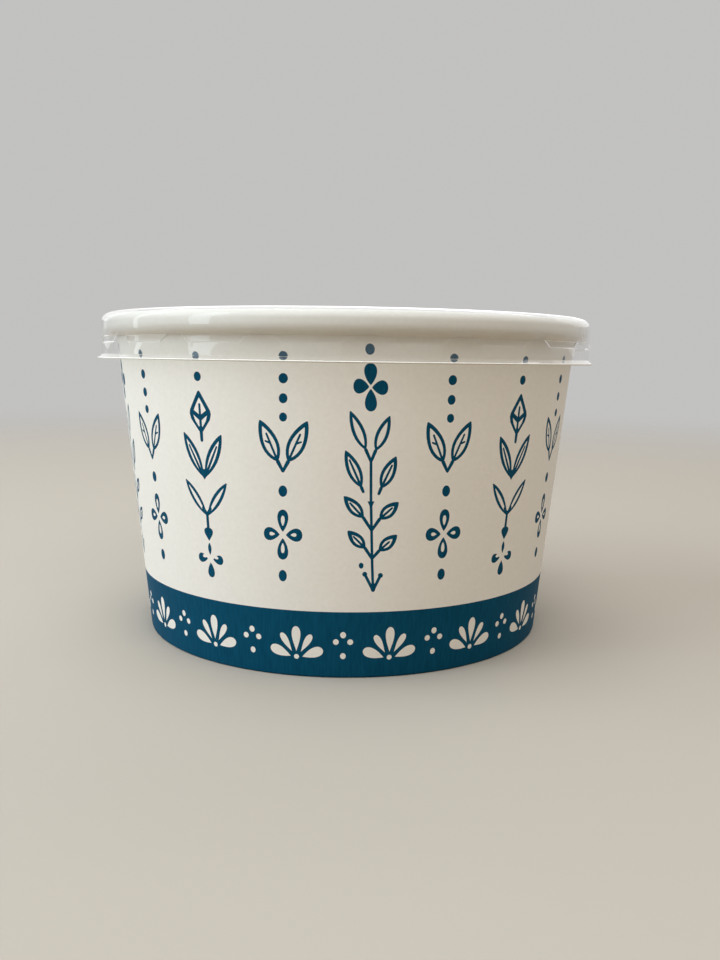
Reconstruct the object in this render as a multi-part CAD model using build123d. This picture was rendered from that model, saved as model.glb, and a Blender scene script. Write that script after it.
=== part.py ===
from build123d import *
import os
from math import cos, degrees, radians, sin

# A round paper bowl of about half a litre, with a clear lid that snaps over its rolled rim.
# Millimetres, +Z up, origin on the axis at the level of the foot, lapped seam at the back (+Y).

# Bowl, overall sizes
bowl_height = 73.7
base_outer_radius = 48.0
rim_outer_radius = 57.7

# Paperboard
board_thickness = 0.45
glue_gap = 0.08

# Rolled rim: the top edge of the wall turned outward, down and in again
curl_width = 2.9
curl_height = 4.7
curl_end_gap = 0.1
curl_end_length = 2.2
curl_outer_bend_share = 0.66
curl_inner_bend_share = 0.28

# Folded foot: the lower edge of the wall turned in and up as a hem
hem_height = 5.6
fold_inner_radius = 0.1

# Side seam: the outer layer rides over the inner one and ends in a cut edge
seam_lap_width = 7.5
seam_lap_angle = 90.0
seam_feather = 0.06

# Base disc, with its edge turned down into the fold of the wall
base_thickness = 0.4
base_floor_height = 7.4
base_corner_radius = 1.2
base_foot_gap = 0.3

# Lid
lid_thickness = 0.3
lid_panel_drop = 3.2
lid_seat_clearance = 0.15
lid_plug_clearance = 0.4
lid_skirt_clearance = 0.32
lid_skirt_length = 9.1
lid_lip_width = 0.95
lid_lip_drop = 0.9
lid_panel_corner_radius = 0.9
lid_plug_shoulder_radius = 0.6
lid_shoulder_radius = 2.0
lid_lip_bend_radius = 0.45

# Snap beads: a row of shallow dents in the skirt, just under the rim
bead_count = 19
bead_clearance = 0.12
bead_drop = 0.2
bead_height = 1.4
bead_chamfer = 0.3
bead_top_share = 0.77
bead_bottom_share = 0.565
bead_turn_share = 0.66

# Overrun of every cut
overrun = 1.0

# Lines of the wall: the food face runs straight from the foot to the inner corner of the rim
food_base_radius = base_outer_radius - board_thickness
food_rim_radius = rim_outer_radius - curl_width
wall_slope = (food_rim_radius - food_base_radius) / bowl_height


def food_radius(height):
    """Radius of the wall's inner, food face at a height."""
    return food_base_radius + wall_slope * height


def printed_radius(height):
    """Radius of the wall's outer, printed face at a height."""
    return food_radius(height) + board_thickness


def other_face(points, radii, thickness):
    """Corner points and bend radii of a sheet's other face, on the path's right if thickness is positive."""
    places = [Vector(*point) for point in points]
    runs = [(after - before).normalized() for before, after in zip(places, places[1:])]
    sides = [Vector(run.Y, -run.X) for run in runs]
    corners = [places[0] + sides[0] * thickness]
    bends = []
    for place, before, after, radius in zip(places[1:], sides, sides[1:], radii):
        corners.append(place + (before + after) * (thickness / (1 + before.dot(after))))
        turn = before.cross(after).Z
        bends.append(radius + thickness if turn > 0 else radius - thickness)
    corners.append(places[-1] + sides[-1] * thickness)
    return corners, bends


def sheet_section(points, radii, thickness):
    """Section of a folded sheet, from the corner points and bend radii of one of its faces."""
    corners, bends = other_face(points, radii, thickness)
    near = FilletPolyline(*points, radius=radii)
    far = FilletPolyline(*corners, radius=bends)
    ends = [Line(near @ 0, far @ 0), Line(near @ 1, far @ 1)]
    return Plane.XZ * make_face([*near.edges(), *far.edges(), *ends])


def side_wall():
    """The wrapped blank: hem, fold, wall and rolled rim in one sheet, with its lapped seam."""
    fold_level = board_thickness
    pocket_width = base_thickness + 2 * glue_gap
    curl_bottom = bowl_height - curl_height
    curl_inner_radius = printed_radius(curl_bottom) + curl_end_gap
    outer_bend = curl_outer_bend_share * (rim_outer_radius - curl_inner_radius)
    inner_bend = curl_inner_bend_share * (rim_outer_radius - curl_inner_radius)
    curl_end_height = curl_bottom + inner_bend + curl_end_length / 2
    points = [
        (food_radius(hem_height) - pocket_width, hem_height),
        (food_radius(fold_level) - pocket_width, fold_level),
        (food_radius(fold_level), fold_level),
        (food_rim_radius, bowl_height),
        (rim_outer_radius, bowl_height),
        (rim_outer_radius, curl_bottom),
        (curl_inner_radius, curl_bottom),
        (printed_radius(curl_end_height) + curl_end_gap, curl_end_height),
    ]
    radii = [fold_inner_radius, fold_inner_radius, inner_bend, outer_bend, outer_bend, inner_bend]
    section = sheet_section(points, radii, board_thickness)
    return revolve(section, Axis.Z) + seam_lap(curl_bottom)


def wall_core(inset, bottom, top):
    """Solid cone that follows the printed face, less an inset."""
    corners = [
        (0, bottom),
        (printed_radius(bottom) - inset, bottom),
        (printed_radius(top) - inset, top),
        (0, top),
    ]
    return revolve(Plane.XZ * make_face(Polyline(*corners, close=True)), Axis.Z)


def seam_lap(curl_bottom):
    """The outer layer of the seam: it leaves the wall gently and ends one board thickness proud."""
    bottom = 2 * (board_thickness + fold_inner_radius)
    top = curl_bottom - glue_gap
    lap_angle = degrees(seam_lap_width / printed_radius(bowl_height / 2))
    turn = radians(lap_angle)
    across = (board_thickness - seam_feather * cos(turn)) / sin(turn)
    start = Rot(0, 0, seam_lap_angle - lap_angle / 2)
    spread = start * Pos(seam_feather, across, 0) * wall_core(0, bottom, top)
    reach = rim_outer_radius + base_outer_radius
    corners = [(0, 0), (reach, 0), (reach, bowl_height), (0, bowl_height)]
    wedge = start * revolve(Plane.XZ * make_face(Polyline(*corners, close=True)), Axis.Z, lap_angle)
    return (spread & wedge) - wall_core(board_thickness / 2, bottom - overrun, top + overrun)


def base_disc():
    """The floor of the bowl, with its edge turned down along the wall."""
    foot_level = board_thickness + base_foot_gap
    points = [
        (0, base_floor_height),
        (food_radius(base_floor_height) - glue_gap, base_floor_height),
        (food_radius(foot_level) - glue_gap, foot_level),
    ]
    return revolve(sheet_section(points, [base_corner_radius], base_thickness), Axis.Z)


def bead_ring(face_radius, depth, root):
    """Ring with the section of a snap bead, standing in from a face of the skirt."""
    top = bowl_height - curl_height - bead_drop
    bottom = top - bead_height
    corners = [
        (face_radius + root, bottom),
        (face_radius, bottom),
        (face_radius - depth, bottom + bead_chamfer),
        (face_radius - depth, top - bead_chamfer),
        (face_radius, top),
        (face_radius + root, top),
    ]
    return revolve(Plane.XZ * make_face(Polyline(*corners, close=True)), Axis.Z)


def bead_window(face_radius, margin):
    """Prism whose front is the trapezoid outline of one bead, wide at the top."""
    pitch = radians(360 / bead_count)
    top_half = face_radius * sin(bead_top_share * pitch / 2) - margin
    bottom_half = face_radius * sin(bead_bottom_share * pitch / 2) - margin
    top = bowl_height - curl_height - bead_drop
    bottom = top - bead_height
    corners = [(-bottom_half, bottom), (bottom_half, bottom), (top_half, top), (-top_half, top)]
    face = Plane.XZ * make_face(Polyline(*corners, close=True))
    return extrude(face, amount=face_radius + overrun)


def lid():
    """The clear lid: recessed panel, plug wall, channel over the rim, skirt with beads, flared lip."""
    panel_level = bowl_height - lid_panel_drop
    channel_level = bowl_height + lid_seat_clearance
    skirt_inner_radius = rim_outer_radius + lid_skirt_clearance
    skirt_outer_radius = skirt_inner_radius + lid_thickness
    lip_level = channel_level - lid_skirt_length
    points = [
        (0, panel_level),
        (food_radius(panel_level) - lid_plug_clearance, panel_level),
        (food_radius(channel_level) - lid_plug_clearance, channel_level),
        (skirt_inner_radius, channel_level),
        (skirt_inner_radius, lip_level),
        (skirt_inner_radius + lid_lip_width, lip_level - lid_lip_drop),
    ]
    radii = [lid_panel_corner_radius, lid_plug_shoulder_radius, lid_shoulder_radius, lid_lip_bend_radius]
    shell = revolve(sheet_section(points, radii, -lid_thickness), Axis.Z)
    depth = lid_skirt_clearance - bead_clearance
    pad = bead_ring(skirt_inner_radius, depth, lid_thickness / 2) & bead_window(skirt_inner_radius, 0)
    dent = bead_ring(skirt_outer_radius, depth, overrun) & bead_window(skirt_outer_radius, lid_thickness)
    turns = [360 * (place + bead_turn_share) / bead_count for place in range(bead_count)]
    return shell + [Rot(0, 0, turn) * pad for turn in turns] - [Rot(0, 0, turn) * dent for turn in turns]


os.makedirs("parts", exist_ok=True)
for name, piece in {"side_wall": side_wall(), "base_disc": base_disc(), "lid": lid()}.items():
    export_step(piece, f"parts/{name}.step")
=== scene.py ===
import math

import bmesh
import bpy
import numpy as np
from mathutils import Matrix, Vector
from mathutils.geometry import delaunay_2d_cdt


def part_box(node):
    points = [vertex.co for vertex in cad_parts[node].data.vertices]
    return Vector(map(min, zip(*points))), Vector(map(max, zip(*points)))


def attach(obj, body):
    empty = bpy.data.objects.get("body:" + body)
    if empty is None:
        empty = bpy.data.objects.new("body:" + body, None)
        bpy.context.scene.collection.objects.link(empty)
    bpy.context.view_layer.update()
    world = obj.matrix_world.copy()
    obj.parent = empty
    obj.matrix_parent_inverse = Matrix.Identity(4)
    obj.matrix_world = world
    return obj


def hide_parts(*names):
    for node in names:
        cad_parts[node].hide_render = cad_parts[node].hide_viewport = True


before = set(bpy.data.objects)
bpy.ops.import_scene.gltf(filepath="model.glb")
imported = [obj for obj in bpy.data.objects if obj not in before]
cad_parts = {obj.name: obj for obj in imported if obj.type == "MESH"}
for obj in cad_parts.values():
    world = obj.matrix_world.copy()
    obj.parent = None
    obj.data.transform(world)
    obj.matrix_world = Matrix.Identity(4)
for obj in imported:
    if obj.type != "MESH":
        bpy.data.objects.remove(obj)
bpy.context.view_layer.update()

# Lengths are millimetres, except where a heading says metres; MM turns them into metres
MM = 0.001
bowl_top_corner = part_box("side_wall")[1] / MM

# Bowl
bowl_height = bowl_top_corner.z
rim_outer_radius = bowl_top_corner.x
base_outer_radius = 48.0
board_thickness = 0.45
glue_gap = 0.08
base_thickness = 0.4

# Rolled rim; its bends go from the food face over the top and round, as shares of the roll's width
curl_width = 2.9
curl_height = 4.7
curl_end_gap = 0.1
curl_end_length = 2.2
curl_bend_shares = [0.28, 0.62, 0.80, 0.18]

# Folded foot
hem_height = 5.6
fold_inner_radius = 0.1

# Side seam
seam_lap_width = 7.5
seam_end_run = 0.5

# Lid
lid_thickness = 0.3
lid_panel_drop = 3.2
lid_seat_clearance = 0.15
lid_plug_clearance = 0.4
lid_skirt_clearance = 0.32
lid_skirt_length = 9.1
lid_lip_width = 0.95
lid_lip_drop = 0.9
# Width of the strip beside the lip's cut that is frosted and painted pale, as a painted highlight of the
# lip's bright edge line
lid_frosted_highlight_width = 0.2
lid_bend_radii = [0.9, 0.6, 2.0, 0.45]

# Snap beads of the lid; shares are of the step from one bead to the next
bead_count = 19
bead_clearance = 0.12
bead_drop = 0.2
bead_height = 1.4
bead_edge_width = 0.3
bead_top_share = 0.77
bead_bottom_share = 0.565
bead_turn_share = 0.66

# Print
band_height = 14.3
print_top_gap = 0.3
column_count = 19
palmette_count = 16

# Leaves of the print: place of their belly, powers of their bow and of a full tip;
# then lengths of an open leaf, as shares of its line's width
leaf_belly, leaf_power, full_tip_power = 0.45, 0.85, 0.7
open_base_inset, open_tip_inset, blunt_radius = 1.3, 1.9, 0.35

# Front columns by their place from the middle, in degrees:
# angle at the lean height, and lean per millimetre of height
lean_height = 45.0
front_columns = {
    -4: (-70.9, 0), -3: (-52.4, 0), -2: (-33.05, 0.008), -1: (-13.28, 0.0342),
    0: (5.39, -0.0364), 1: (22.72, -0.0214), 2: (41.9, 0), 3: (60.8, 0),
}

# Mesh density; the lid's columns stand at shares of the step from one bead to the next
wall_columns = 288
print_row_step = 5.0
arc_step = math.radians(12)
bead_rows = 16
bead_end_from, bead_end_to = 0.24, 0.42
wide_column_step, close_column_step = 0.06, 0.0125
gap_columns = [0.44, 0.47]
floor_columns = 96
floor_rings = (0, 0.1, 0.3, 0.6, 1)

# Largest angle, in degrees, across which each mesh is shaded smooth
wall_smooth_angle, lid_smooth_angle, floor_smooth_angle = 40, 50, 60

# Tolerances: doubled points in metres, the others in millimetres
merge_distance = 1e-7
cut_tolerance, row_tolerance, seam_tolerance = 1e-6, 1e-5, 1e-4
seam_digits = 4

# Colours of the pieces
paper_dark, paper_light = (0.815, 0.805, 0.78), (0.85, 0.84, 0.815)
coated_dark, coated_light = (0.83, 0.82, 0.80), (0.865, 0.855, 0.835)
edge_dark, edge_light = (0.70, 0.66, 0.58), (0.82, 0.79, 0.73)
ink_dark, ink_light = (0.0016, 0.053, 0.108), (0.0042, 0.080, 0.158)
# The lip's pale trim colours are partly its frosted cut and partly a painted highlight of its bright edge
# line
trim_highlight_dark, trim_highlight_light = (0.82, 0.84, 0.84), (0.93, 0.94, 0.93)
sheet_colour, sheet_shade = (0.995, 0.998, 0.998), (0.90, 0.905, 0.90)

# Roughness of the pieces, from smooth to rough
paper_roughness, coated_roughness, edge_roughness = (0.46, 0.6), (0.34, 0.46), (0.7, 0.85)
ink_roughness, trim_roughness, sheet_roughness = (0.48, 0.62), (0.2, 0.4), (0.02, 0.07)

# Noise fields: features per metre, and how many finer octaves
mottle, tooth, streak = (1100.0, 5.0), (2600.0, 2.0), (2200.0, 4.0)
wave, haze, grain, cloud = (60.0, 2.0), (900.0, 3.0), (3000.0, 2.0), (6.0, 3.0)
streak_stretch = (1.0, 1.0, 0.08)
streak_from, streak_to = 0.25, 0.8

# Fine relief: strength, and depth in metres
tooth_relief, wave_relief = (0.18, 0.00004), (0.12, 0.0004)

# Other looks; after so many bounces in the clear sheet, light passes straight on
ink_specular = 0.04
sheet_ior = 1.5
sheet_bounces = 3

# Stage, in metres: a round floor under an even, pale room
floor_radius, fade_start = 1.0, 0.15
floor_colour, floor_bounce = (0.455, 0.425, 0.385), (0.26, 0.195, 0.12)
floor_cloud, floor_roughness = (0.94, 1.0), 0.85
backdrop_colour, ceiling_colour = (0.54, 0.537, 0.532), (1.0, 1.0, 1.0)
ceiling_from, ceiling_to = 0.1, 0.7
room_low, room_high = (0.55, 0.487, 0.40), (0.68, 0.67, 0.65)

# Lamps, in metres and watts: place, width and height, power, colour, and whether glossy things show it
lamp_target = (0, 0, 0.04)
lamps = {
    "window_left": ((-0.625, -0.305, 0.30), (0.14, 0.62), 0.75, (0.80, 0.93, 1.0), True),
    "window_behind": ((-0.68, 0.157, 0.25), (0.05, 0.60), 0.16, (0.9, 0.96, 1.0), True),
    "soft_left": ((-0.78, -0.22, 0.44), (0.9, 0.8), 5.7, (0.80, 0.93, 1.0), False),
    "front": ((0.12, -0.62, 0.80), (0.8, 0.5), 2.5, (1.0, 0.96, 0.88), False),
    "back": ((0.10, 0.85, 0.42), (2.4, 0.55), 1.9, (1.0, 0.99, 0.97), True),
    "above": ((-0.05, -0.05, 0.90), (0.5, 0.5), 1.7, (1.0, 1.0, 1.0), False),
    "strip": ((0.05, 0.50, 0.72), (1.2, 0.14), 0.9, (1.0, 1.0, 1.0), True),
}

# Camera, in metres: the photograph's place, aim and lens
camera_distance, camera_height = 0.2201, 0.0650
camera_pitch, camera_yaw, camera_roll = math.radians(7.973), math.radians(0.99), math.radians(0.819)
camera_near = 0.01
focal_pixels, image_height, sensor = 879.2, 960, 36.0


# Sections of folded sheets


def unit(vector):
    """A vector's direction."""
    return vector / np.linalg.norm(vector)


def rounded(points, radii):
    """Points along a polyline whose inner corners are rounded to the given radii."""
    points = [np.array(point, float) for point in points]
    path = [points[0]]
    for before, corner, after, radius in zip(points, points[1:], points[2:], radii):
        to_before, to_after = unit(before - corner), unit(after - corner)
        half = math.acos(np.clip(to_before @ to_after, -1, 1)) / 2
        centre = corner + unit(to_before + to_after) * radius / math.sin(half)
        start = corner + to_before * radius / math.tan(half) - centre
        end = corner + to_after * radius / math.tan(half) - centre
        sweep = math.atan2(start[0] * end[1] - start[1] * end[0], start @ end)
        steps = max(2, math.ceil(abs(sweep) / arc_step))
        for share in np.linspace(0, 1, steps + 1):
            c, s = math.cos(sweep * share), math.sin(sweep * share)
            path.append(centre + np.array([c * start[0] - s * start[1], s * start[0] + c * start[1]]))
    path.append(points[-1])
    return path


def other_face(points, radii, thickness):
    """Corner points and bend radii of a sheet's other face; a positive thickness lies right of the path."""
    places = [np.array(point, float) for point in points]
    runs = [unit(after - before) for before, after in zip(places, places[1:])]
    sides = [np.array([run[1], -run[0]]) for run in runs]
    corners = [places[0] + sides[0] * thickness]
    bends = []
    for place, before, after, radius in zip(places[1:], sides, sides[1:], radii):
        corners.append(place + (before + after) * thickness / (1 + before @ after))
        turn = before[0] * after[1] - before[1] * after[0]
        bends.append(radius + thickness if turn > 0 else radius - thickness)
    corners.append(places[-1] + sides[-1] * thickness)
    return corners, bends


def around(radius, angle, height):
    """A point of the bowl's frame in metres; angle 0 is the front (-Y), positive towards +X."""
    return (radius * math.sin(angle) * MM, -radius * math.cos(angle) * MM, height * MM)


# Meshes


class Shell:
    """Collects vertices and faces with their material, and makes one smooth mesh object of them."""

    def __init__(self):
        self.places = []
        self.faces = []
        self.slots = []

    def vertex(self, place):
        """Adds a vertex and gives its number."""
        self.places.append(place)
        return len(self.places) - 1

    def face(self, corners, slot):
        """Adds a face, unless fewer than three of its corners differ."""
        kept = list(dict.fromkeys(corners))
        if len(kept) > 2:
            self.faces.append(kept)
            self.slots.append(slot)

    def strip(self, row, next_row, slot):
        """Quads between two closed rows of vertices."""
        for i in range(len(row)):
            j = (i + 1) % len(row)
            self.face([row[i], row[j], next_row[j], next_row[i]], slot)

    def build(self, name, materials, smooth_angle):
        """Makes the object, with doubled vertices merged and all faces turned outward."""
        mesh = bpy.data.meshes.new(name)
        mesh.from_pydata(self.places, [], self.faces)
        mesh.polygons.foreach_set("material_index", self.slots)
        for material in materials:
            mesh.materials.append(material)
        work = bmesh.new()
        work.from_mesh(mesh)
        bmesh.ops.remove_doubles(work, verts=work.verts, dist=merge_distance)
        bmesh.ops.recalc_face_normals(work, faces=work.faces)
        work.to_mesh(mesh)
        work.free()
        mesh.shade_smooth()
        mesh.set_sharp_from_angle(angle=math.radians(smooth_angle))
        piece = bpy.data.objects.new(name, mesh)
        bpy.context.scene.collection.objects.link(piece)
        return piece


# Wall lines


food_base_radius = base_outer_radius - board_thickness
wall_slope = (rim_outer_radius - curl_width - food_base_radius) / bowl_height
curl_bottom = bowl_height - curl_height


def food_radius(height):
    """Radius of the wall's inner, food face at a height."""
    return food_base_radius + wall_slope * height


def printed_radius(height):
    """Radius of the wall's outer, printed face at a height."""
    return food_radius(height) + board_thickness


def wall_section():
    """Food face and printed face of the blank, from the hem's top round the foot up to the roll's end."""
    pocket_width = base_thickness + 2 * glue_gap
    curl_inner_radius = printed_radius(curl_bottom) + curl_end_gap
    bends = [share * (rim_outer_radius - curl_inner_radius) for share in curl_bend_shares]
    curl_end_height = curl_bottom + bends[0] + curl_end_length / 2
    points = [
        (food_radius(hem_height) - pocket_width, hem_height),
        (food_radius(board_thickness) - pocket_width, board_thickness),
        (food_radius(board_thickness), board_thickness),
        (rim_outer_radius - curl_width, bowl_height),
        (rim_outer_radius, bowl_height),
        (rim_outer_radius, curl_bottom),
        (curl_inner_radius, curl_bottom),
        (printed_radius(curl_end_height) + curl_end_gap, curl_end_height),
    ]
    radii = [fold_inner_radius, fold_inner_radius, *bends]
    return rounded(points, radii), rounded(*other_face(points, radii, board_thickness))


# Print: closed outlines in millimetres on the unrolled wall, x along the wall and z up


def disc(x, z, across, up, count=20):
    """An oval dot."""
    turns = np.linspace(0, 2 * math.pi, count, endpoint=False)
    return [(x + across * math.cos(t), z + up * math.sin(t)) for t in turns]


def along(base, tip, shares, halves):
    """Closed outline about the line from base to tip, from its half-widths at shares of its length."""
    base, tip = np.array(base, float), np.array(tip, float)
    axis = tip - base
    side = unit(np.array([-axis[1], axis[0]]))
    left = [base + axis * s + side * h for s, h in zip(shares, halves)]
    right = [base + axis * s - side * h for s, h in zip(shares, halves)]
    return [tuple(p) for p in right + left[-2:0:-1]]


def drop(base, tip, width, point=0.4, count=12):
    """A petal: pointed at its base, round at its tip."""
    turns = np.linspace(0, math.pi, count)
    shares = (1 - np.cos(turns)) / 2
    halves = np.sin(turns) * shares ** point
    return along(base, tip, shares, halves * width / 2 / halves.max())


def leaf(base, tip, width, belly=leaf_belly, tip_power=leaf_power, count=14):
    """A leaf, pointed at both ends and widest at the belly; a low tip power makes its tip full."""
    shares = (1 - np.cos(np.linspace(0, math.pi, count))) / 2
    power = math.log(0.5) / math.log(belly)
    halves = np.sin(math.pi * shares ** power) ** np.where(shares > belly, tip_power, leaf_power)
    halves[0] = halves[-1] = 0
    return along(base, tip, shares, halves * width / 2)


def stroke(start, end, width, end_width=None, count=5):
    """A straight line of ink with round ends, tapering to its end width."""
    end_width = width if end_width is None else end_width
    start, end = np.array(start, float), np.array(end, float)
    forward = unit(end - start)
    side = np.array([-forward[1], forward[0]])
    outline = []
    for centre, half, facing in ((end, end_width / 2, forward), (start, width / 2, -forward)):
        across = -side if facing is forward else side
        for turn in np.linspace(0, math.pi, count):
            outline.append(tuple(centre + half * (across * math.cos(turn) + facing * math.sin(turn))))
    return outline


def shrunk(base, tip, inset_base, inset_tip):
    """A line with its two ends drawn in."""
    base, tip = np.array(base, float), np.array(tip, float)
    forward = unit(tip - base)
    return tuple(base + forward * inset_base), tuple(tip - forward * inset_tip)


def open_leaf(base, tip, width, line, belly=leaf_belly):
    """An outlined leaf with a blunt tip: a field of ink with a field of paper inside."""
    inner_base, inner_tip = shrunk(base, tip, line * open_base_inset, line * open_tip_inset)
    radius = line * blunt_radius
    blunt = shrunk(base, tip, 0, radius)[1]
    return [
        (leaf(base, tip, width, belly, full_tip_power), True),
        (disc(*blunt, radius, radius, 10), True),
        (leaf(inner_base, inner_tip, width - 2 * line, belly), False),
    ]


def sprig():
    """Column A: a tall sprig with leaf pairs under a solid flower."""
    stem, line = 0.55, 0.64
    node = [(-0.68, 37.2), (-0.3, 36.3), (-0.26, 35.8), (0.26, 35.8), (0.3, 36.3), (0.68, 37.2)]
    shapes = [
        (disc(0, 66.45, 0.9, 1.05), True),
        (drop((0.1, 59.75), (0.1, 63.9), 2.45), True),
        (drop((0.1, 59.05), (0.1, 54.75), 2.3), True),
        (drop((-0.2, 59.45), (-3.2, 59.6), 2.8), True),
        (drop((0.35, 59.3), (3.45, 59.3), 2.75), True),
        (stroke((0.05, 45.6), (0, 37.0), stem), True),
        (stroke((0, 37.0), (0.2, 24.0), stem), True),
        (stroke((0.2, 24.0), (0.35, 18.9), stem), True),
        (node, True),
        (disc(-2.0, 24.1, 0.48, 0.62), True),
    ]
    # Each leaf: base, tip, width, foot of its stalk, share that its mid-vein reaches
    leaves = [
        ((-0.95, 47.4), (-3.85, 54.8), 2.45, (0, 45.2), 0),
        ((0.95, 47.2), (3.75, 53.9), 2.45, (0.1, 45.2), 0),
        ((-1.85, 40.0), (-4.85, 47.2), 2.75, (-1.5, 39.1), 0.74),
        ((2.0, 39.8), (5.0, 46.05), 2.75, (1.55, 38.7), 0.72),
        ((-1.5, 33.9), (-5.25, 38.2), 2.6, (0.05, 31.4), 0.68),
        ((1.7, 33.6), (5.5, 36.95), 2.6, (0.15, 31.4), 0.66),
        ((-1.2, 27.7), (-4.6, 31.25), 2.5, (0.1, 25.6), 0.66),
        ((1.55, 27.1), (5.2, 30.3), 2.5, (0.2, 25.6), 0.56),
    ]
    for base, tip, width, foot, vein in leaves:
        shapes += open_leaf(base, tip, width, line)
        shapes.append((stroke(foot, base, 0.58, 0.68), True))
        if vein:
            near, far = np.array(base), np.array(tip)
            shapes.append((stroke(near, near + (far - near) * vein, 0.52, 0.4), True))
    for head in ((-1.3, 22.3), (1.85, 22.0)):
        shapes.append((disc(*head, 0.5, 0.52), True))
        shapes.append((stroke((0.35, 18.9), head, 0.6, 0.6), True))
    shapes.append((drop((0.35, 20.8), (0.35, 18.55), 1.0, 0.3), True))
    return shapes


def dots_and_flower():
    """Column B: a row of dots, a leaf pair and an open flower."""
    shapes = [
        (disc(0, 64.95, 0.92, 0.92), True),
        (disc(0, 60.8, 0.93, 0.98), True),
        (disc(0, 57.0, 0.87, 0.97), True),
        (disc(0, 53.4, 0.8, 0.88), True),
        (disc(0, 38.85, 0.9, 1.15), True),
        (disc(0, 21.5, 0.86, 1.2), True),
    ]
    for side in (-1, 1):
        base, tip = (side * 1.05, 44.75), (side * 4.8, 52.7)
        shapes += open_leaf(base, tip, 3.55, 0.68, 0.43)
        shapes.append((stroke((side * 0.02, 42.85), base, 0.6, 0.8), True))
        shapes.append((stroke(base, (side * 3.4, 50.1), 0.5, 0.42), True))
        shapes.append((stroke((side * 2.6, 48.3), (side * 3.6, 48.65), 0.45, 0.36), True))
        shapes.append((drop((side * 0.65, 30.0), (side * 4.0, 30.1), 2.68), True))
        shapes.append((drop((side * 1.6, 30.05), (side * 2.8, 30.1), 0.74), False))
    for base, tip, hollow_base, hollow_tip in (
        ((0, 30.6), (0, 35.15), (0, 31.8), (0, 33.9)),
        ((0, 29.3), (0, 24.85), (0, 28.3), (0, 26.2)),
    ):
        shapes.append((drop(base, tip, 2.25), True))
        shapes.append((drop(hollow_base, hollow_tip, 0.78, 0.3), False))
    return shapes


def leaf_tiers():
    """Column C: a diamond leaf, two leaf pairs, a bud and a small flower."""
    diamond = [
        (0, 58.0), (-0.3, 57.8), (-1.7, 55.6), (-2.65, 54.1), (-2.8, 53.3), (-2.45, 52.2), (-0.5, 49.8),
        (0.5, 49.8), (2.45, 52.2), (2.8, 53.3), (2.65, 54.1), (1.7, 55.6), (0.3, 57.8),
    ]
    upper = [(0, 56.6), (-0.82, 55.4), (-1.6, 54.05), (0, 53.05), (1.6, 54.05), (0.82, 55.4)]
    lower = [
        (0, 51.85), (-1.8, 53.1), (-1.4, 51.95), (-0.3, 50.5),
        (0.3, 50.5), (1.4, 51.95), (1.8, 53.1),
    ]
    fork = [(0, 39.95), (1.1, 41.35), (0.6, 42.4), (0, 42.1), (-0.6, 42.4), (-1.1, 41.35)]
    shapes = [
        (disc(0, 64.7, 0.9, 0.92), True),
        (disc(0, 60.75, 0.92, 0.95), True),
        (diamond, True),
        (upper, False),
        (lower, False),
        (stroke((0, 55.2), (0, 50.2), 0.58, 0.66), True),
        (stroke((0, 50.6), (0, 48.05), 0.95, 0.76), True),
        (stroke((0, 32.9), (0, 29.6), 0.72), True),
        (drop((0, 27.05), (0, 29.95), 2.35, 0.75), True),
        (leaf((0, 26.7), (0, 24.1), 0.92), True),
        (drop((0, 22.5), (0, 19.25), 1.8, 0.5), True),
    ]
    for side in (-1, 1):
        shapes += open_leaf((side * 0.15, 40.4), (side * 4.95, 49.35), 2.9, 0.77, 0.5)
        shapes.append((stroke((side * 0.9, 41.8), (side * 3.6, 46.85), 0.62, 0.42), True))
        shapes += open_leaf((side * 0.05, 32.4), (side * 5.45, 39.6), 2.2, 0.68, 0.5)
        shapes.append((stroke((0, 32.7), (side * 1.0, 34.0), 0.75, 0.7), True))
        shapes.append((drop((side * 0.75, 23.2), (side * 3.35, 23.3), 2.0), True))
        shapes.append((drop((side * 0.45, 23.95), (side * 2.1, 23.6), 0.72, 0.2), False))
    shapes.append((fork, True))
    return shapes


def palmette():
    """A fan of five pale petals on the blue band."""
    shapes = [(disc(0, 4.38, 0.53, 0.53, 14), False), (drop((0, 5.55), (0, 10.95), 1.85, 0.7), False)]
    for side in (-1, 1):
        shapes.append((drop((side * 0.93, 5.45), (side * 3.15, 9.3), 1.38, 0.7), False))
        shapes.append((drop((side * 1.2, 4.42), (side * 5.45, 6.15), 2.15, 0.55), False))
    return shapes


def dot_cluster():
    """Four pale dots between two palmettes."""
    places = [
        (0, 9.4, 0.6, 0.68), (-1.45, 7.9, 0.6, 0.62), (1.45, 7.9, 0.6, 0.62), (0, 4.85, 0.58, 0.66),
    ]
    return [(disc(*place, 14), False) for place in places]


def print_fields(seam_angle):
    """Every field of the print, lowest layer first, as (points of angle and height, is it ink)."""
    fields = []
    first = seam_angle - 2 * math.pi

    def lay(shapes, turn, lean=0.0):
        """Sets a motif at an angle, leaning sideways with height; both in degrees."""
        turn = (math.radians(turn) - first) % (2 * math.pi) + first
        lean = math.radians(lean)
        for outline, ink in shapes:
            points = [(turn + lean * (z - lean_height) + x / printed_radius(z), z) for x, z in outline]
            fields.append((points, ink))

    motifs = [sprig(), dots_and_flower(), leaf_tiers(), dots_and_flower()]
    places = dict(front_columns)
    last, unseen = max(places), column_count - len(places)
    step = (places[min(places)][0] + 360 - places[last][0]) / (unseen + 1)
    for number in range(1, unseen + 1):
        place = last + number
        place -= column_count if place > column_count // 2 else 0
        places[place] = (places[last][0] + number * step, 0)
    for place, (turn, lean) in sorted(places.items()):
        lay(motifs[abs(place) % len(motifs)], turn, lean)
    for place in range(palmette_count):
        lay(dot_cluster(), place * 360 / palmette_count)
        lay(palmette(), (place + 0.5) * 360 / palmette_count)
    return fields


# Bowl wall


PAPER, INK, COATED, EDGE = range(4)


def lap_rise(angle, height, seam_angle, lap_angle, low, high):
    """How far the printed face stands out where the outer layer rides over the inner one."""
    share = np.clip((angle - (seam_angle - lap_angle)) / lap_angle, 0, 1)
    ends = np.clip(min(height - low, high - height) / seam_end_run, 0, 1)
    return board_thickness * share * ends


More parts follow.
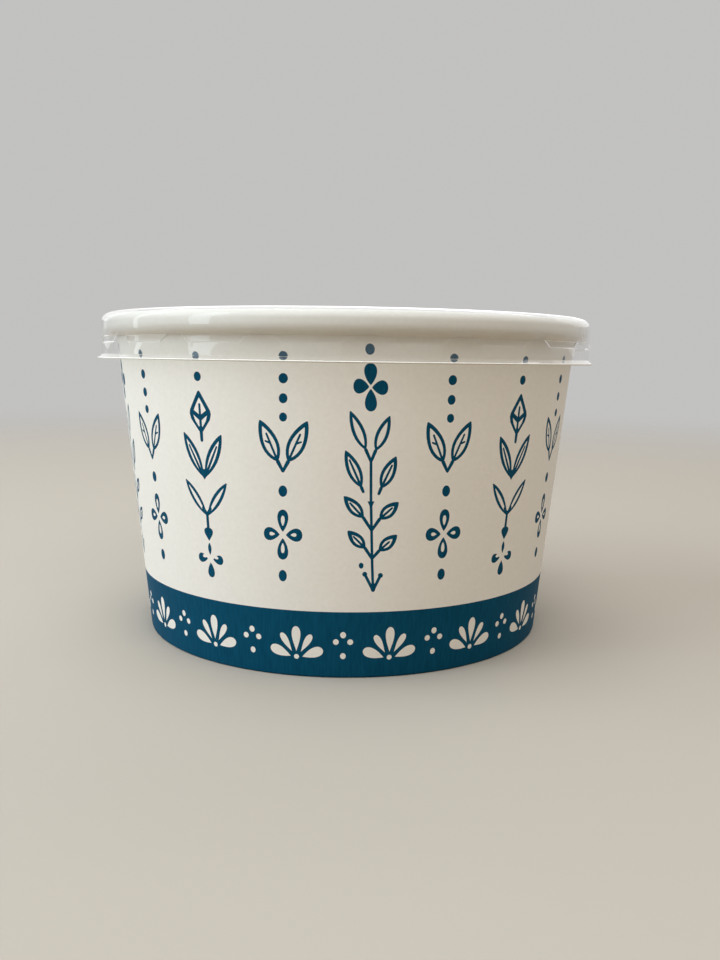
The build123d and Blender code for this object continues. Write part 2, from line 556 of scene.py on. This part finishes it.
def bowl_wall(materials):
    """The printed blank: revolved folds, and a printed face cut along every outline of the print."""
    food, printed = wall_section()
    lengths = [np.linalg.norm(after - before) for before, after in zip(printed, printed[1:])]
    run = int(np.argmax(lengths))
    low, high = printed[run][1], curl_bottom - print_top_gap
    top_point = np.array([printed_radius(high), high])
    loop = food + printed[:run:-1] + [top_point] + printed[run::-1]
    top_row = len(food) + len(printed) - run - 1

    lap_angle = seam_lap_width / printed_radius(bowl_height / 2)
    seam_angle = math.pi + lap_angle / 2
    first = seam_angle - 2 * math.pi
    angles = first + np.arange(wall_columns) * 2 * math.pi / wall_columns

    shell = Shell()
    rows = [[shell.vertex(around(r, angle, z)) for angle in angles] for r, z in loop]
    for index in range(len(rows)):
        if index == top_row:
            continue
        if index < len(food) - 1:
            slot = COATED
        elif index in (len(food) - 1, len(rows) - 1):
            slot = EDGE
        else:
            slot = PAPER if index < top_row else INK
        shell.strip(rows[index], rows[(index + 1) % len(rows)], slot)

    # The printed face, unrolled: a border, a coarse grid and the outlines of the print
    spread = printed_radius(bowl_height / 2)
    points, edges, outlines, inks = [], [], [], []
    columns = [first + i * 2 * math.pi / wall_columns for i in range(wall_columns + 1)]
    count = math.ceil((high - low) / print_row_step)
    heights = sorted([*np.linspace(low, high, count + 1), band_height])
    for height in heights:
        for angle in columns:
            points.append((angle, height))
    wide, tall = len(columns), len(heights)
    for i in range(wide - 1):
        edges += [(i, i + 1), ((tall - 1) * wide + i, (tall - 1) * wide + i + 1)]
    for j in range(tall - 1):
        edges += [(j * wide, (j + 1) * wide), (j * wide + wide - 1, (j + 1) * wide + wide - 1)]
    band_row = heights.index(band_height)
    band = [*range(wide), *range(band_row * wide + wide - 1, band_row * wide - 1, -1)]
    outlines.append(band)
    inks.append(True)
    for outline, ink in print_fields(seam_angle):
        flat = [(a * spread, z) for a, z in outline]
        area = sum(p[0] * q[1] - q[0] * p[1] for p, q in zip(flat, flat[1:] + flat[:1]))
        start = len(points)
        points += outline if area > 0 else outline[::-1]
        outlines.append(list(range(start, start + len(outline))))
        inks.append(ink)
    flat = [Vector((a * spread, z)) for a, z in points]
    places, _, faces, _, _, sources = delaunay_2d_cdt(flat, edges, outlines, 0, cut_tolerance, True)

    def wall_vertex(place):
        """The vertex at a place of the unrolled face; its lower and upper border belong to the folds."""
        angle, height = place[0] / spread, place[1]
        column = round((angle - first) * wall_columns / (2 * math.pi)) % wall_columns
        if height < low + row_tolerance:
            return rows[top_row + 1][column]
        if height > high - row_tolerance:
            return rows[top_row][column]
        radius = printed_radius(height) + lap_rise(angle, height, seam_angle, lap_angle, low, high)
        return shell.vertex(around(radius, angle, height))

    made = [wall_vertex(place) for place in places]
    for face, source in zip(faces, sources):
        ink = bool(source) and inks[max(source)]
        shell.face([made[i] for i in face], INK if ink else PAPER)

    def side(angle):
        """Vertices along one upright side of the unrolled face, by their height."""
        found = {}
        for place, vertex in zip(places, made):
            if abs(place[0] - angle * spread) < seam_tolerance:
                found[round(place[1], seam_digits)] = vertex
        return found

    # The cut edge of the outer layer, from the raised end of the sheet down to its start
    starts, ends = side(first), side(seam_angle)
    levels = sorted(set(starts) & set(ends))
    for below, above in zip(levels, levels[1:]):
        shell.face([starts[below], ends[below], ends[above], starts[above]], EDGE)
    return shell.build("bowl_wall", materials, wall_smooth_angle)


# Lid


SHEET, TRIM_HIGHLIGHT = range(2)


def lid_section():
    """The lid sheet's lower and upper face, each from the middle of the panel out to the lip."""
    panel_level = bowl_height - lid_panel_drop
    channel_level = bowl_height + lid_seat_clearance
    skirt_inner_radius = rim_outer_radius + lid_skirt_clearance
    lip_level = channel_level - lid_skirt_length
    points = [
        (0, panel_level),
        (food_radius(panel_level) - lid_plug_clearance, panel_level),
        (food_radius(channel_level) - lid_plug_clearance, channel_level),
        (skirt_inner_radius, channel_level),
        (skirt_inner_radius, lip_level),
        (skirt_inner_radius + lid_lip_width, lip_level - lid_lip_drop),
    ]
    lower = rounded(points, lid_bend_radii)
    upper = rounded(*other_face(points, lid_bend_radii, -lid_thickness))
    faces = [with_bead_rows(face) for face in (lower, upper)]
    for face in faces:
        face.insert(-1, face[-1] + unit(face[-2] - face[-1]) * lid_frosted_highlight_width)
    return faces


def bead_span():
    """Lowest and highest level of the bead row."""
    top = curl_bottom - bead_drop
    return top - bead_height, top


def with_bead_rows(face):
    """A face of the lid with extra points down the skirt, close together across the beads."""
    lengths = [abs(after[1] - before[1]) for before, after in zip(face, face[1:])]
    run = int(np.argmax(lengths))
    bottom, top = bead_span()
    levels = np.linspace(top + bead_edge_width / 2, bottom - bead_edge_width / 2, bead_rows)
    return face[:run + 1] + [np.array([face[run][0], level]) for level in levels] + face[run + 1:]


def bead_dent(arc, height):
    """Depth of the snap beads at a place on the skirt; arc is measured from the nearest bead's middle."""
    bottom, top = bead_span()
    pitch = 2 * math.pi * rim_outer_radius / bead_count
    share = np.clip((height - bottom) / (top - bottom), 0, 1)
    half = pitch * (bead_bottom_share + (bead_top_share - bead_bottom_share) * share) / 2
    slant = math.atan2(pitch * (bead_top_share - bead_bottom_share) / 2, bead_height)
    inside = min(top - height, height - bottom, (half - abs(arc)) * math.cos(slant))
    rise = np.clip(inside / bead_edge_width + 0.5, 0, 1)
    return (lid_skirt_clearance - bead_clearance) * rise * rise * (3 - 2 * rise)


def lid_columns():
    """Turns in bead steps and angles round the lid, closer together where the beads end."""
    wide = np.arange(0, bead_end_from, wide_column_step)
    close = np.arange(bead_end_from, bead_end_to, close_column_step)
    half = np.concatenate([wide, close, gap_columns])
    shares = np.concatenate([half, 1 - half[1:][::-1]])
    turns = (np.arange(bead_count)[:, None] + bead_turn_share + shares[None, :]).ravel()
    return turns, turns * 2 * math.pi / bead_count


def clear_lid(materials):
    """The clear lid: panel, plug wall, channel, skirt with its row of beads, and flared lip."""
    lower, upper = lid_section()
    loop = lower + upper[::-1]
    turns, angles = lid_columns()
    pitch = 2 * math.pi * rim_outer_radius / bead_count
    arcs = ((turns - bead_turn_share + 0.5) % 1 - 0.5) * pitch
    bottom, top = bead_span()
    shell = Shell()
    rows = []
    for radius, level in loop:
        dented = radius > rim_outer_radius and bottom - bead_edge_width < level < top + bead_edge_width
        rows.append([
            shell.vertex(around(radius - (bead_dent(arc, level) if dented else 0), angle, level))
            for arc, angle in zip(arcs, angles)
        ])
    # The lip's cut and the strip on either side of it are frosted; their pale colour also paints the lip's
    # bright edge line, a painted highlight
    for index, (row, next_row) in enumerate(zip(rows, rows[1:])):
        shell.strip(row, next_row, TRIM_HIGHLIGHT if abs(index - len(lower) + 1) < 2 else SHEET)
    return shell.build("clear_lid", materials, lid_smooth_angle)


# Materials


def new_material(name):
    """A material with only its output and one principled shader."""
    material = bpy.data.materials.new(name)
    material.use_nodes = True
    tree = material.node_tree
    return material, tree, tree.nodes["Principled BSDF"]


def add(tree, kind, **values):
    """A node with the named inputs set."""
    made = tree.nodes.new(kind)
    for name, value in values.items():
        made.inputs[name].default_value = value
    return made


def noise(tree, scale, detail, stretch=None):
    """A noise field in the piece's own coordinates, in features per metre."""
    where = tree.nodes.new("ShaderNodeTexCoord")
    field = add(tree, "ShaderNodeTexNoise", Scale=scale, Detail=detail)
    source = where.outputs["Object"]
    if stretch:
        mapping = add(tree, "ShaderNodeMapping", Scale=stretch)
        tree.links.new(source, mapping.inputs["Vector"])
        source = mapping.outputs["Vector"]
    tree.links.new(source, field.inputs["Vector"])
    return field.outputs["Fac"]


def ramp(tree, factor, low, high, low_at=0.3, high_at=0.7):
    """A factor mapped to a run between two colours."""
    made = tree.nodes.new("ShaderNodeValToRGB")
    for stop, colour, at in zip(made.color_ramp.elements, (low, high), (low_at, high_at)):
        stop.color = (*colour, 1)
        stop.position = at
    tree.links.new(factor, made.inputs["Fac"])
    return made.outputs["Color"]


def span(tree, factor, low, high):
    """A factor mapped to a run between two numbers."""
    made = add(tree, "ShaderNodeMapRange", **{"To Min": low, "To Max": high})
    tree.links.new(factor, made.inputs["Value"])
    return made.outputs["Result"]


def maths(tree, operation, first, second):
    """Two sockets put together into one number."""
    made = tree.nodes.new("ShaderNodeMath")
    made.operation = operation
    tree.links.new(first, made.inputs[0])
    tree.links.new(second, made.inputs[1])
    return made.outputs["Value"]


def any_ray(tree, *kinds):
    """1 for rays of the named kinds, otherwise 0."""
    path = tree.nodes.new("ShaderNodeLightPath")
    found = path.outputs[kinds[0]]
    for kind in kinds[1:]:
        found = maths(tree, "MAXIMUM", found, path.outputs[kind])
    return found


def blend(tree, factor, first, second, output):
    """Two shaders mixed by a factor, as the output's surface."""
    made = tree.nodes.new("ShaderNodeMixShader")
    tree.links.new(factor, made.inputs["Fac"])
    tree.links.new(first, made.inputs[1])
    tree.links.new(second, made.inputs[2])
    tree.links.new(made.outputs["Shader"], tree.nodes[output].inputs["Surface"])


def bump(tree, shader, height, strength, distance):
    """Fine relief on a shader's normal."""
    made = add(tree, "ShaderNodeBump", Strength=strength, Distance=distance)
    tree.links.new(height, made.inputs["Height"])
    tree.links.new(made.outputs["Normal"], shader.inputs["Normal"])


def board_material(name, dark, light, roughness):
    """White board: soft fibre mottling, satin sheen and a fine tooth."""
    material, tree, shader = new_material(name)
    shade = noise(tree, *mottle)
    fibre = noise(tree, *tooth)
    tree.links.new(ramp(tree, shade, dark, light), shader.inputs["Base Color"])
    tree.links.new(span(tree, fibre, *roughness), shader.inputs["Roughness"])
    bump(tree, shader, fibre, *tooth_relief)
    return material


def ink_material():
    """Dark blue ink on board: uneven coverage, fine upright streaks and the board's tooth."""
    material, tree, shader = new_material("blue_ink")
    cover = noise(tree, *streak, streak_stretch)
    fibre = noise(tree, *tooth)
    colour = ramp(tree, cover, ink_dark, ink_light, streak_from, streak_to)
    tree.links.new(colour, shader.inputs["Base Color"])
    tree.links.new(span(tree, fibre, *ink_roughness), shader.inputs["Roughness"])
    shader.inputs["Specular IOR Level"].default_value = ink_specular
    bump(tree, shader, fibre, *tooth_relief)
    return material


def plastic_material():
    """Clear formed sheet, glossy and slightly wavy; lamplight and light caught in it pass through."""
    material, tree, shader = new_material("clear_sheet")
    shader.inputs["Base Color"].default_value = (*sheet_colour, 1)
    shader.inputs["Transmission Weight"].default_value = 1.0
    shader.inputs["IOR"].default_value = sheet_ior
    swell = noise(tree, *wave)
    tree.links.new(span(tree, noise(tree, *haze), *sheet_roughness), shader.inputs["Roughness"])
    bump(tree, shader, swell, *wave_relief)
    clear = add(tree, "ShaderNodeBsdfTransparent", Color=(*sheet_shade, 1))
    deep = tree.nodes.new("ShaderNodeMath")
    deep.operation = "GREATER_THAN"
    deep.inputs[1].default_value = sheet_bounces
    tree.links.new(tree.nodes.new("ShaderNodeLightPath").outputs["Ray Depth"], deep.inputs[0])
    lit = any_ray(tree, "Is Shadow Ray", "Is Diffuse Ray")
    passed = maths(tree, "MAXIMUM", lit, deep.outputs["Value"])
    blend(tree, passed, shader.outputs["BSDF"], clear.outputs["BSDF"], "Material Output")
    return material


def cut_plastic_highlight_material():
    """The lid's trimmed lip: a frosted edge whose pale colour also paints its bright edge line, a painted
    highlight.
    """
    material, tree, shader = new_material("trimmed_edge_painted_highlight")
    frost_and_highlight = noise(tree, *grain)
    tree.links.new(ramp(tree, frost_and_highlight, trim_highlight_dark, trim_highlight_light), shader.inputs["Base Color"])
    tree.links.new(span(tree, frost_and_highlight, *trim_roughness), shader.inputs["Roughness"])
    return material


def stage_material():
    """The plain pale floor, which fades into the backdrop far out and throws little light back."""
    material, tree, shader = new_material("pale_floor")
    seen = any_ray(tree, "Is Camera Ray", "Is Transmission Ray", "Is Glossy Ray")
    shade = span(tree, noise(tree, *cloud), *floor_cloud)
    colour = ramp(tree, maths(tree, "MULTIPLY", seen, shade), floor_bounce, floor_colour, 0, 1)
    tree.links.new(colour, shader.inputs["Base Color"])
    shader.inputs["Roughness"].default_value = floor_roughness
    shader.inputs["Specular IOR Level"].default_value = 0.0
    where = tree.nodes.new("ShaderNodeTexCoord")
    away = tree.nodes.new("ShaderNodeVectorMath")
    away.operation = "LENGTH"
    tree.links.new(where.outputs["Object"], away.inputs[0])
    near = add(tree, "ShaderNodeMapRange", **{"From Min": fade_start, "From Max": floor_radius})
    near.interpolation_type = "SMOOTHERSTEP"
    tree.links.new(away.outputs["Value"], near.inputs["Value"])
    fade = maths(tree, "MULTIPLY", near.outputs["Result"], seen)
    clear = tree.nodes.new("ShaderNodeBsdfTransparent")
    blend(tree, fade, shader.outputs["BSDF"], clear.outputs["BSDF"], "Material Output")
    return material


# Pieces


printed_board = board_material("printed_board", paper_dark, paper_light, paper_roughness)
coated_board = board_material("coated_board", coated_dark, coated_light, coated_roughness)
raw_edge = board_material("raw_edge", edge_dark, edge_light, edge_roughness)

wall = bowl_wall([printed_board, ink_material(), coated_board, raw_edge])
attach(wall, "bowl")
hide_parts("side_wall")

lid = clear_lid([plastic_material(), cut_plastic_highlight_material()])
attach(lid, "lid")
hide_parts("lid")

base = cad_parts["base_disc"]
base.data.materials.clear()
base.data.materials.append(coated_board)


# Stage


def pale_floor():
    """A level disc under the bowl."""
    shell = Shell()
    angles = [i * 2 * math.pi / floor_columns for i in range(floor_columns)]
    rows = [
        [shell.vertex(around(share * floor_radius / MM, angle, 0)) for angle in angles]
        for share in floor_rings
    ]
    for row, next_row in zip(rows, rows[1:]):
        shell.strip(row, next_row, 0)
    shell.build("floor", [stage_material()], floor_smooth_angle)


def room():
    """Soft light from all round, a plain pale backdrop, and a bright ceiling that glossy things show."""
    world = bpy.data.worlds.new("room")
    world.use_nodes = True
    tree = world.node_tree
    light = tree.nodes["Background"]
    where = tree.nodes.new("ShaderNodeTexCoord")
    split = tree.nodes.new("ShaderNodeSeparateXYZ")
    tree.links.new(where.outputs["Generated"], split.inputs["Vector"])
    tree.links.new(ramp(tree, split.outputs["Z"], room_low, room_high, 0, 1), light.inputs["Color"])
    backdrop = tree.nodes.new("ShaderNodeBackground")
    mirrored = maths(tree, "MULTIPLY", split.outputs["Z"], any_ray(tree, "Is Glossy Ray"))
    shade = ramp(tree, mirrored, backdrop_colour, ceiling_colour, ceiling_from, ceiling_to)
    tree.links.new(shade, backdrop.inputs["Color"])
    seen = any_ray(tree, "Is Camera Ray", "Is Transmission Ray", "Is Glossy Ray")
    blend(tree, seen, light.outputs["Background"], backdrop.outputs["Background"], "World Output")
    bpy.context.scene.world = world


def lamp(name, place, size, watts, colour, shown):
    """A soft lamp that isn't seen itself, also not through the lid; glossy things show a shown one."""
    data = bpy.data.lights.new(name, "AREA")
    data.shape = "RECTANGLE"
    data.size, data.size_y = size
    data.energy = watts
    data.color = colour
    made = bpy.data.objects.new(name, data)
    made.location = place
    made.rotation_euler = (Vector(lamp_target) - Vector(place)).to_track_quat("-Z", "Y").to_euler()
    made.visible_camera = made.visible_transmission = False
    made.visible_glossy = shown
    bpy.context.scene.collection.objects.link(made)


pale_floor()
room()
for lamp_name, lamp_values in lamps.items():
    lamp(lamp_name, *lamp_values)


# Camera


def photo_camera():
    """A camera that looks at the bowl's front as the photograph does."""
    data = bpy.data.cameras.new("camera")
    data.sensor_width = sensor
    data.lens = focal_pixels * sensor / image_height
    data.clip_start = camera_near
    forward = Vector((
        math.sin(camera_yaw) * math.cos(camera_pitch),
        math.cos(camera_yaw) * math.cos(camera_pitch),
        -math.sin(camera_pitch),
    ))
    level = Vector((math.cos(camera_yaw), -math.sin(camera_yaw), 0))
    upright = level.cross(forward)
    right = level * math.cos(camera_roll) + upright * math.sin(camera_roll)
    up = upright * math.cos(camera_roll) - level * math.sin(camera_roll)
    made = bpy.data.objects.new("camera", data)
    turn = Matrix((right, up, -forward)).transposed().to_4x4()
    made.matrix_world = Matrix.Translation((0, -camera_distance, camera_height)) @ turn
    bpy.context.scene.collection.objects.link(made)
    bpy.context.scene.camera = made


photo_camera()
bpy.context.scene.view_settings.view_transform = "Standard"
